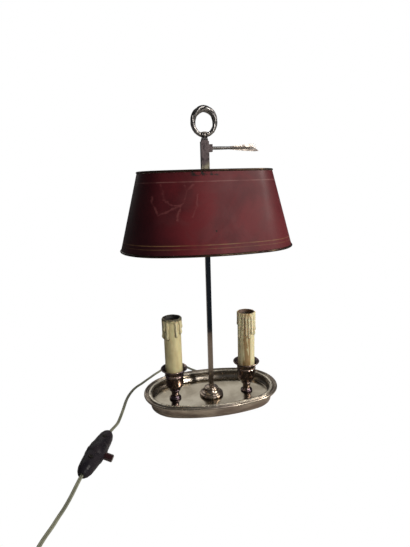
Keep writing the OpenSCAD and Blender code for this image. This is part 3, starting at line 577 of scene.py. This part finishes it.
SCRATCHES = (  # crooked lines on the front, through points (x, z) in millimetres
    ((-67, 334), (-64.6, 325), (-62, 314), (-56.6, 307), (-42.5, 305.8)),
    ((-36, 332), (-33.6, 323.5), (-37.4, 313), (-42.4, 307), (-45.3, 298), (-48, 288)),
    ((-25, 331.6), (-33.6, 323.5)),
    ((-77.6, 317.5), (-77.6, 308), (-71.3, 295), (-53.8, 301.4), (-42.5, 305.8)),
    ((-19.6, 319), (-22, 306.7), (-29.5, 291.5)),
)
PINSTRIPES = (  # height and half width in metres, strongest share of the colour, colour
    (0.3357, 0.00045, 0.42, (0.24, 0.115, 0.105)),
    (0.2568, 0.0004, 0.62, (0.22, 0.125, 0.055)),
    (0.2522, 0.0003, 0.4, (0.20, 0.11, 0.05)),
)


def off_line(look, spot, start, end):
    """How far a spot is from the straight line between two points (x, z), in metres."""
    first = np.array([start[0], 0, start[1]]) * MM
    way = np.array([end[0], 0, end[1]]) * MM - first
    to = look.vector("SUBTRACT", spot, first.tolist())
    along = look.vector("DOT_PRODUCT", to, (way / way.dot(way)).tolist())
    share = look.times(along, 1.0, clamp=True)
    reach = look.add("VectorMath", {0: way.tolist(), "Scale": share}, operation="SCALE").outputs[0]
    return look.vector("LENGTH", look.vector("SUBTRACT", to, reach))


def off_scratches(look):
    """How far a point is from the nearest scratch, with a shake that makes the lines uneven."""
    flat = look.add("CombineXYZ", {"X": look.x, "Z": look.z}).outputs[0]
    shake = look.add("TexNoise", {"Vector": flat, "Scale": 130.0, "Detail": 3.0}).outputs[1]
    shake = look.vector("SUBTRACT", shake, (0.5, 0.5, 0.5))
    spot = look.vector("ADD", flat, look.vector("MULTIPLY", shake, (0.008, 0.0, 0.008)))
    ways = [way for line in SCRATCHES for way in zip(line, line[1:])]
    nearest = off_line(look, spot, *ways[0])
    for start, end in ways[1:]:
        nearest = look.math("MINIMUM", nearest, off_line(look, spot, start, end))
    return nearest


def aged_red_with_painted_shade(look):
    """Red paint cloudy with age, with painted shade: nearly black at the left end, darker at the right."""
    age = look.ease(look.noise(16, 5, warp=0.6), 0.38, 0.64)
    faded = look.ease(look.noise(22, 4, shift=(0.3, 0.1, 0.2), warp=0.8), 0.46, 0.6)
    red = look.mix(age, (0.115, 0.0095, 0.0135), (0.070, 0.0065, 0.0095))
    for share, most, tone in (
        (faded, 0.3, (0.10, 0.024, 0.026)),
        # painted shade: darker towards the left end, nearly black there
        (look.ease(look.x, -0.012, -0.1), 0.88, (0.016, 0.002, 0.004)),
        # painted shade: a little darker towards the right end
        (look.ease(look.x, 0.015, 0.09), 0.4, (0.045, 0.009, 0.011)),
    ):
        red = look.mix(look.times(share, most), red, tone)
    return red


def chips(look):
    """Where paint is lost: under the upper edge, and one small spot in the middle."""
    flakes = look.times(look.ease(look.noise(170, 5), 0.5, 0.55), look.band(look.z, 0.3462, 0.0024, 0.002))
    flakes = look.times(flakes, look.band(look.x, -0.009, 0.015, 0.005))
    spot = look.times(
        look.band(look.x, 0.0004, 0.0007, 0.0005), look.band(look.z, 0.2736, 0.0009, 0.0005)
    )
    return look.math("MAXIMUM", flakes, spot)


def tole_look():
    """Old red paint with scratches, pinstripes, chips and painted shade at both ends."""
    look = Look("tole")
    look.set("Specular IOR Level", 0.18)
    front = look.ease(look.y, -0.02, -0.035)
    rubbed = look.times(
        look.ease(off_scratches(look), 0.0, 0.0022, 1.0, 0.0),
        look.ease(look.noise(90, 4), 0.36, 0.6, 0.04, 0.36),
    )
    colour = look.mix(look.times(rubbed, front), aged_red_with_painted_shade(look), (0.22, 0.07, 0.07))
    wear = look.noise(48, 4, (1, 1, 0.1))
    for height, half, share, tone in PINSTRIPES:
        left = look.ease(wear, 0.34, 0.6, share * 0.3, share)
        colour = look.mix(look.times(look.band(look.z, height, half, 0.0003), left), colour, tone)
    colour = look.mix(look.times(chips(look), front), colour, (0.012, 0.007, 0.006))
    look.set("Base Color", colour)
    look.roughen(look.noise(25, 5), 0.42, 0.54)
    look.bump(look.noise(240, 4, warp=0.5), 0.12)
    return look


def shade_skin(outwards, steps):
    """Rings of the leaning wall between its rolled edges, set outwards square to it."""
    spots, _ = oval(*SHADE, 720)
    lean = math.atan2(SHADE_TAPER, SHADE_RISE)
    out, up = outwards * math.cos(lean), outwards * math.sin(lean)
    hidden = 0.015  # share of the wall that each rolled edge covers
    shares = np.linspace(hidden, 1 - hidden, steps)
    return round_oval(spots, [(out - SHADE_TAPER * t, SHADE_LOW + up + SHADE_RISE * t) for t in shares])


def shade_edge(name, inset, height):
    """A rolled edge of the shade."""
    spots, _ = oval(*SHADE, 420)
    roll = arc((-inset - SHEET / 2, height), EDGE_ROLL, 0, 360, 17)[:-1]
    piece(
        f"edge_{name}", [(*loft(round_oval(spots, roll), True), 0)], [gilt],
        "shade_carrier", [f"shade_{name}_wire"], sharp=60,
    )


def shade():
    outer, inner = shade_skin(0, 60), shade_skin(-SHEET, 12)[::-1]
    piece(
        "shade_outside", [(*loft(outer, caps=False), 0)], [tole_look()],
        "shade_carrier", ["shade_shell"], sharp=60,
    )
    piece("shade_inside", [(*loft(inner, caps=False), 0)], [inside], "shade_carrier", sharp=60)
    shade_edge("bottom", 0, SHADE_LOW)
    shade_edge("top", SHADE_TAPER, SHADE_LOW + SHADE_RISE)


shade()


# ---- arrow screw ----

SHAFT_END = BOSS_END + 25.5  # end of the plain shaft; the vanes begin 3 mm before it
LOWEST = 180  # angle of the vane below the shaft, in degrees


def shaft():
    """The arrow's rod, turned and then laid along X."""
    tip, radius = 3.8, 2.25
    profile = [(0, tip), (1.9, tip), (radius, 4.2), (radius, SHAFT_END - 14), (2.1, SHAFT_END - 6)]
    profile += [(2.0, SHAFT_END), (1.6, SHAFT_END + 20), (1.35, SHAFT_END + 29), (0, SHAFT_END + 29.8)]
    points, faces = lathe(profile, sides=32)
    laid = points[:, [2, 1, 0]] * (1, -1, 1)
    return laid + (0, 0, BOSS_HEIGHT), [face[::-1] for face in faces]


def vane(angle):
    """A barbed vane, thinner outwards, with a cut tail. The lowest one runs on further."""
    steps, length, barbs, barb_height = 60, 40, 15, 0.12
    across = np.linspace(0, 1, 9)
    rings = []
    for t in np.arange(steps + 1) / steps:
        reach = 1.6 + 3.55 * min(1, t / 0.86) ** 0.8 - 4 * max(0, t - 0.9)
        tail = 10 * (1 - across) * max(0, t - 0.5)
        further = 11.25 * max(0, t - 0.6) if angle == LOWEST else 0
        barb = barb_height * np.sin(TURN * (t * barbs - across * 1.4))
        thick = 0.72 - 0.4 * across + barb * np.sqrt(across)
        x = SHAFT_END - 3 + length * t - tail + further
        side = np.stack([x, thick, 1.0 + (reach - 1.0) * across], 1)
        rings.append(np.vstack([side, side[::-1] * (1, -1, 1)]))
    points, faces = loft(rings)
    c, s = math.cos(math.radians(angle)), math.sin(math.radians(angle))
    return points @ np.array([[1, 0, 0], [0, c, s], [0, -s, c]]) + (0, 0, BOSS_HEIGHT), faces


def arrow():
    parts = [(*shaft(), 0)] + [(*vane(angle), 1) for angle in (0, 90, LOWEST, 270)]
    piece("arrow", parts, [gunmetal, bronze], "clamp_screw", ["arrow_screw"], sharp=35)


arrow()


# ---- candle cups ----


def cup(name):
    """A turned cup: foot, narrow neck, straight body, flared lip, and the bore down from it."""
    base, bottom = FLOOR + 0.02, 33.9
    profile = [(0, base), (7.9, base)] + arc((7.9, 9.4), 1.38, -85, 80, 8)
    profile += [(7.9, 11.0), (7.2, 11.6), (6.5, 12.3), (6.0, 13.3), (5.75, 15), (5.8, 17)]
    profile += [(6.2, 19.2), (6.9, 21.2), (7.4, 22.2)] + arc((7.9, 23.2), 0.8, -100, 60, 6)
    profile += [(8.6, 24.4), (9.6, 26.0), (11.2, 28.0), (12.6, 29.6), (13.5, 31.4), (13.9, 33.2)]
    profile += [(14.05, 35.2), (14.05, 45.8)] + arc((14.0, 46.9), 0.85, -70, 70, 6)
    profile += [(14.1, 48.2), (14.3, 49.6), (14.9, 51.6), (15.9, 53.6), (17.3, 55.4), (18.9, 56.8)]
    profile += arc((19.6, 58.1), 0.9, -60, 110, 10) + [(18.3, 58.0), (16.6, 56.6), (15.0, 54.4)]
    profile += [(14.0, 52.4), (13.4, 50.2), (13.3, 44), (13.3, 34), (0, bottom)]
    piece(
        f"cup_{name}", [(*lathe(profile, (LIGHTS[name], 0, 0)), 0)], [tarnish],
        "root", [f"candle_cup_{name}"],
    )


for name in LIGHTS:
    cup(name)


# ---- candle sleeves ----

LEFT_DRIPS = (  # angle in degrees, anticlockwise from the right; length, half width, thickness
    (186, 29, 2.9, 2.3), (208, 17, 2.5, 1.7), (233, 29, 2.3, 1.9), (292, 25, 2.1, 1.9),
    (330, 22, 2.9, 2.2), (351, 15, 2.3, 2.0), (20, 25, 2.0, 1.4), (70, 19, 2.0, 1.3),
    (118, 26, 2.2, 1.5), (150, 17, 2.0, 1.3),
)
RIGHT_DRIPS = (
    (206, 38, 2.0, 1.7), (236, 24, 1.8, 1.1), (256, 33, 1.7, 1.0), (276, 38, 1.5, 1.0),
    (298, 31, 2.0, 1.2), (328, 34, 2.3, 1.5), (350, 29, 1.8, 1.8), (25, 30, 1.7, 1.2),
    (75, 22, 1.6, 1.0), (125, 34, 1.7, 1.2), (165, 20, 1.6, 1.0),
)


def poured(z, angles, drips, depth, proud):
    """All round at one height: thickness of the wax, dirt along its drips, and the drips themselves.

    The wax round the top is proud of the tube, with a wavy lower edge at about its depth.
    """
    edge = SLEEVE_TOP - depth * (1 + 0.16 * np.sin(3 * angles + 1) + 0.1 * np.sin(7 * angles))
    wax = proud * np.clip((z - edge) / 1.6, 0, 1) ** 0.5
    dirt, run = np.zeros(len(angles)), np.zeros(len(angles))
    below_top = min(1, max(0, (SLEEVE_TOP - 2 - z) / 5))
    for angle, length, half, thick in drips:
        away = wrapped(angles - math.radians(angle)) * SLEEVE_RADIUS
        end = SLEEVE_TOP - length
        flare = 1 + 0.5 * math.exp(-(((z - edge.mean()) / 4) ** 2)) if z > end + 6 else 1
        wide = half * flare * (0.86 + 0.14 * math.sin(z * 0.5 + angle))
        if z >= end:
            off = np.abs(away) / wide
        else:
            off = np.sqrt((away / half) ** 2 + ((z - end) / half / 1.2) ** 2)
        bead = math.exp(-(((z - end - 1) / 2.4) ** 2))
        wax = np.maximum(wax, thick * np.sqrt(np.clip(1 - off**2, 0, 1)) * (1 + 0.35 * bead))
        beside = np.exp(-(((off - 1.08) / 0.3) ** 2)) * below_top
        dirt = np.maximum(dirt * np.clip(off / 0.8, 0, 1), beside)
        run = np.maximum(run, np.clip((0.95 - off) * 4, 0, 1) * below_top)
    return wax, dirt, run


def candle(name, drips, depth, proud, look):
    """A card tube with poured wax. Its grime attribute is 2 inside the bore, marking painted shade."""
    x, bore = LIGHTS[name], SLEEVE_RADIUS - CARD
    angles = np.linspace(0, TURN, 240, endpoint=False)
    rings, grime, runs = [], [], []
    for z in (SLEEVE_FOOT, *np.linspace(SLEEVE_FOOT + 2, SLEEVE_TOP - 0.6, 150), SLEEVE_TOP - 0.15):
        wax, dirt, run = poured(z, angles, drips, depth, proud)
        radius = SLEEVE_RADIUS + wax - (0.5 if z > SLEEVE_TOP - 0.4 else 0)
        wave = 0.07 * np.sin(5 * angles) + 0.05 * np.sin(9 * angles + 2) if z > SLEEVE_TOP - 1 else 0
        rings.append(round_ring(radius, z + wave, angles, x))
        grime.append(dirt)
        runs.append(run)
    # grime 2 marks the inside of the bore, where the wax look paints shade
    for radius, z, dirt in (
        (SLEEVE_RADIUS - 0.3, SLEEVE_TOP, 0.0),
        (bore, SLEEVE_TOP - 0.5, 2.0),
        (bore, SLEEVE_FOOT + 0.3, 2.0),
    ):
        rings.append(round_ring(radius, z, angles, x))
        grime.append(np.full(len(angles), dirt))
        runs.append(np.zeros(len(angles)))
    made = piece(
        f"candle_{name}", [(*loft(rings, True), 0)], [look],
        "root", [f"candle_sleeve_{name}"], sharp=60,
    )
    for title, values in (("grime", grime), ("run", runs)):
        layer = made.data.attributes.new(title, "FLOAT", "POINT")
        layer.data.foreach_set("value", np.concatenate(values).astype(np.float32))


def streaks(look, x, half):
    """Share of the stains that run down the front of a sleeve, within half of x."""
    middle = look.times(look.band(look.x, x, half, 0.002), look.ease(look.y, -0.002, -0.006))
    runs = look.ease(look.noise(210, 4, (1, 1, 0.14), warp=0.9), 0.39, 0.51)
    return look.times(middle, look.times(runs, 0.85))


def wax_look(name, light, dark, run, grime, mouth_shade, soot, soot_from, streak=None):
    """Cloudy wax with clean drips, dirt beside them, soot at the top and painted shade inside the bore.

    The soot sets in between two heights. A streak is a place, a half width and a colour.
    """
    look = Look(name)
    clouds = look.noise(60, 5, (1, 1, 0.35), warp=0.5)
    colour = look.mix(look.ease(clouds, 0.36, 0.66), light, dark)
    if streak:
        x, half, tone = streak
        colour = look.mix(streaks(look, x, half), colour, tone)
    on_drips = look.add("Attribute", attribute_name="run").outputs["Fac"]
    colour = look.mix(look.times(on_drips, look.ease(clouds, 0.3, 0.6, 0.35, 0.75)), colour, run)
    smoke = look.ease(look.wavy_height(look.noise(110, 4), 0.003, 0.25, 0.75), *soot_from)
    colour = look.mix(look.times(smoke, 0.9), colour, soot)
    dirt = look.add("Attribute", attribute_name="grime").outputs["Fac"]
    patchy = look.ease(look.noise(110, 1, (1, 1, 0.3)), 0.34, 0.62, 0.1, 0.85)
    colour = look.mix(look.times(dirt, patchy, clamp=True), colour, grime)
    # painted shade: the inside of the bore, where grime is 2, is painted dark
    colour = look.mix(look.ease(dirt, 1.2, 1.8), colour, mouth_shade)
    look.set("Base Color", colour)
    look.roughen(clouds, 0.42, 0.62)
    look.set("Subsurface Weight", 0.08)
    look.set("Subsurface Scale", 0.004)
    look.bump(look.noise(260, 4), 0.12)
    return look


olive = wax_look(
    "olive_wax", light=(0.58, 0.51, 0.28), dark=(0.42, 0.36, 0.19), run=(0.70, 0.64, 0.42),
    # the colour inside the bore is painted shade
    grime=(0.035, 0.029, 0.017), mouth_shade=(0.007, 0.006, 0.004),
    soot=(0.050, 0.046, 0.030), soot_from=(0.1345, 0.1385),
)
cream = wax_look(
    "cream_wax", light=(0.64, 0.575, 0.35), dark=(0.50, 0.45, 0.26), run=(0.66, 0.61, 0.42),
    # the colour inside the bore is painted shade
    grime=(0.075, 0.038, 0.016), mouth_shade=(0.075, 0.034, 0.015),
    soot=(0.36, 0.29, 0.18), soot_from=(0.138, 0.1395), streak=(0.0545, 0.0048, (0.24, 0.128, 0.036)),
)
candle("left", LEFT_DRIPS, 5, 1.4, olive)
candle("right", RIGHT_DRIPS, 6, 0.6, cream)


# ---- lampholders and wiring ----

show("lampholders", holder, 0.3)
for node in ("lamp_threads", "lamp_contacts", "screwed_tubes", "switch_contacts"):
    show(node, brass)
for node in ("tube_nuts", "holder_brackets"):
    show(node, steel)
for node in ("wire_left", "wire_right"):
    show(node, cover)
show("terminal_block", ceramic, 0.4)


# ---- switch and plug ----

for node in ("switch_upper_shell", "switch_lower_shell"):
    show(node, bakelite, 0.3)
show("switch_bar", button)
show("switch_screws", screw)
show("plug_body", rubber, 0.8)
show("plug_pins", pins)


# ---- cord ----

LEAD = [
    [0, 46, 4.3], [0, 60, 4.3], [0, 73.4, 4.3], [-4, 86, 3.4], [-11, 97, 2.1], [-19, 108, 1.4],
    [-26, 119, 1.3], [-34, 129, 1.3], [-45, 134, 1.3], [-57, 131, 1.3], [-67, 122, 1.3],
    [-76, 111, 1.3], [-85, 101, 1.3], [-93, 91, 1.3], [-101, 81, 1.3], [-108, 72, 1.3],
    [-116, 63, 1.3], [-122, 54, 1.3], [-127, 43, 1.3], [-131, 31, 1.3], [-134, 18, 1.3],
    [-136, 5, 1.3], [-138, -8, 1.3], [-140, -20, 1.4], [-142, -32, 2], [-144, -44, 3.6],
    [-147, -56, 6.4], [-150, -67, 9.4], [-153, -77, 11.4], [-157, -89, 12], [-158.5, -93.5, 12],
]
TAIL = [
    [-174.5, -140.5, 12], [-176, -145, 12], [-180, -157, 11.4], [-184, -168, 9], [-188, -178, 5.8],
    [-193, -190, 3], [-198, -201, 1.6], [-202, -212, 1.3], [-206.5, -223, 1.3], [-210.5, -235, 1.3],
    [-213.5, -247, 1.4], [-215.7, -259, 1.6], [-216.9, -270, 1.8], [-217.3, -280, 1.95],
]
END = [[-180, -317.4, 4.7], [-170, -317.4, 5.3], [-160, -317.4, 6.1], [-150, -317.4, 6.75]]
COIL_CENTRE = (-190, -290)
COIL_INNER = 22.7  # radius of the inner column
COIL_OUTER = 27.3  # and of the outer one
COIL_LOW = 1.95
COIL_PITCH = 2.5
TOP_LAYER = 4
ACROSS = 270  # degrees in which the flex goes from one column to the other
CLIMB = 90  # and from one layer to the next


def layers_passed(angle):
    """Layers that a column has gone through after some degrees: the next at the start of each turn."""
    turns, rest = divmod(angle, 360)
    return turns + min(1, rest / CLIMB)


def coil():
    """Up the inner column layer by layer, across the top, and down the outer one."""
    start, up = 180, 180 + ACROSS
    over = up + 360 * (TOP_LAYER - 1) + CLIMB
    down = over + ACROSS
    end = down + 900  # two turns and a half, to where the end leaves the coil
    made = []
    for degrees in range(start, end + 1, 5):
        if degrees < up:
            radius = COIL_OUTER + (COIL_INNER - COIL_OUTER) * (degrees - start) / ACROSS
            layer = 0
        elif degrees < over:
            radius = COIL_INNER
            layer = layers_passed(degrees - up)
        elif degrees < down:
            radius = COIL_INNER + (COIL_OUTER - COIL_INNER) * (degrees - over) / ACROSS
            layer = TOP_LAYER
        else:
            radius = COIL_OUTER
            layer = TOP_LAYER - layers_passed(degrees - down)
        t = math.radians(degrees)
        x, y = COIL_CENTRE[0] + radius * math.cos(t), COIL_CENTRE[1] + radius * math.sin(t)
        made.append((x, y, COIL_LOW + COIL_PITCH * layer))
    return made


def flat_twin(path):
    """The section of a flat twin flex, carried along a path."""
    lobe_centre, lobe_radius, waist = 1.1, 1.2, 0.72
    lobe = arc((lobe_centre, 0), lobe_radius, -108, 108, 10)
    section = [*lobe, (0, waist), *[(-x, -y) for x, y in lobe], (0, -waist)]
    rings = []
    for i, spot in enumerate(path):
        ahead = path[min(i + 1, len(path) - 1)] - path[max(i - 1, 0)]
        side = np.cross(ahead, (0, 0, 1))
        side /= np.linalg.norm(side)
        up = np.cross(side, ahead)
        up /= np.linalg.norm(up)
        rings.append([spot + side * a + up * b for a, b in section])
    return [(*loft(rings), 0)]


show("cord_bush", rubber)
show("coil_tie", rubber)
lead_path = curve(LEAD)
coiled = coil()
tail_path = np.vstack([curve(TAIL), coiled, curve([coiled[-1], *END])[1:]])
lead = piece("flex_lead", flat_twin(lead_path), [flex], "root", ["cord_lead"], sharp=60)
tail = piece(
    "flex_tail", flat_twin(tail_path), [flex],
    "root", ["cord_tail", "cord_coil", "cord_end"], sharp=60,
)


# ---- floor, light and background ----


def add_shader(tree, kind, colour):
    node = tree.nodes.new("ShaderNode" + kind)
    node.inputs[0].default_value = (*colour, 1)
    return node


def white_to_camera(tree, white, other, output):
    """White where the camera sees it straight, and the other shader for everything else."""
    rays = tree.nodes.new("ShaderNodeLightPath")
    mixed = tree.nodes.new("ShaderNodeMixShader")
    end = tree.nodes.new("ShaderNode" + output)
    tree.links.new(rays.outputs["Is Camera Ray"], mixed.inputs[0])
    tree.links.new(other.outputs[0], mixed.inputs[1])
    tree.links.new(white.outputs[0], mixed.inputs[2])
    tree.links.new(mixed.outputs[0], end.inputs[0])


def lay_floor():
    """A pale cloth that stays white to the camera and takes the light for everything else."""
    reach = 4
    corners = [(-reach, -reach, 0), (reach, -reach, 0), (reach, reach, 0), (-reach, reach, 0)]
    mesh = bpy.data.meshes.new("ground")
    mesh.from_pydata(corners, [], [(0, 1, 2, 3)])
    ground = bpy.data.objects.new("ground", mesh)
    scene.collection.objects.link(ground)
    pale = bpy.data.materials.new("ground")
    pale.use_nodes = True
    pale.node_tree.nodes.clear()
    glow = add_shader(pale.node_tree, "Emission", (1, 1, 1))
    cloth = add_shader(pale.node_tree, "BsdfDiffuse", (0.62, 0.60, 0.57))
    white_to_camera(pale.node_tree, glow, cloth, "OutputMaterial")
    mesh.materials.append(pale)


def surround():
    """A white background, and a dim sky for everything but the camera."""
    world = bpy.data.worlds.new("world")
    scene.world = world
    world.use_nodes = True
    world.node_tree.nodes.clear()
    plain = add_shader(world.node_tree, "Background", (1, 1, 1))
    sky = add_shader(world.node_tree, "Background", (0.50, 0.51, 0.53))
    sky.inputs["Strength"].default_value = 0.2
    white_to_camera(world.node_tree, plain, sky, "OutputWorld")


def lamp(name, spot, aim, size, power, colour):
    """A rectangular light at a spot, turned to its aim."""
    data = bpy.data.lights.new(name, "AREA")
    data.shape = "RECTANGLE"
    data.size, data.size_y = size
    data.energy = power
    data.color = colour
    made = bpy.data.objects.new(name, data)
    made.location = spot
    made.rotation_euler = Vector(np.subtract(aim, spot)).to_track_quat("-Z", "Y").to_euler()
    scene.collection.objects.link(made)


lay_floor()
surround()
lamp("key", (1.52, -0.62, 1.3), (0, 0, 0.2), (0.4, 0.9), 34, (1.0, 0.95, 0.88))
lamp("fill", (0.76, -1.72, 0.92), (0, 0, 0.15), (0.16, 1.2), 18, (1.0, 0.98, 0.94))
lamp("back", (-0.4, 1.7, 1.2), (0, 0, 0.1), (2.4, 1.2), 7, (1.0, 0.97, 0.92))

scene.view_settings.view_transform = "Standard"
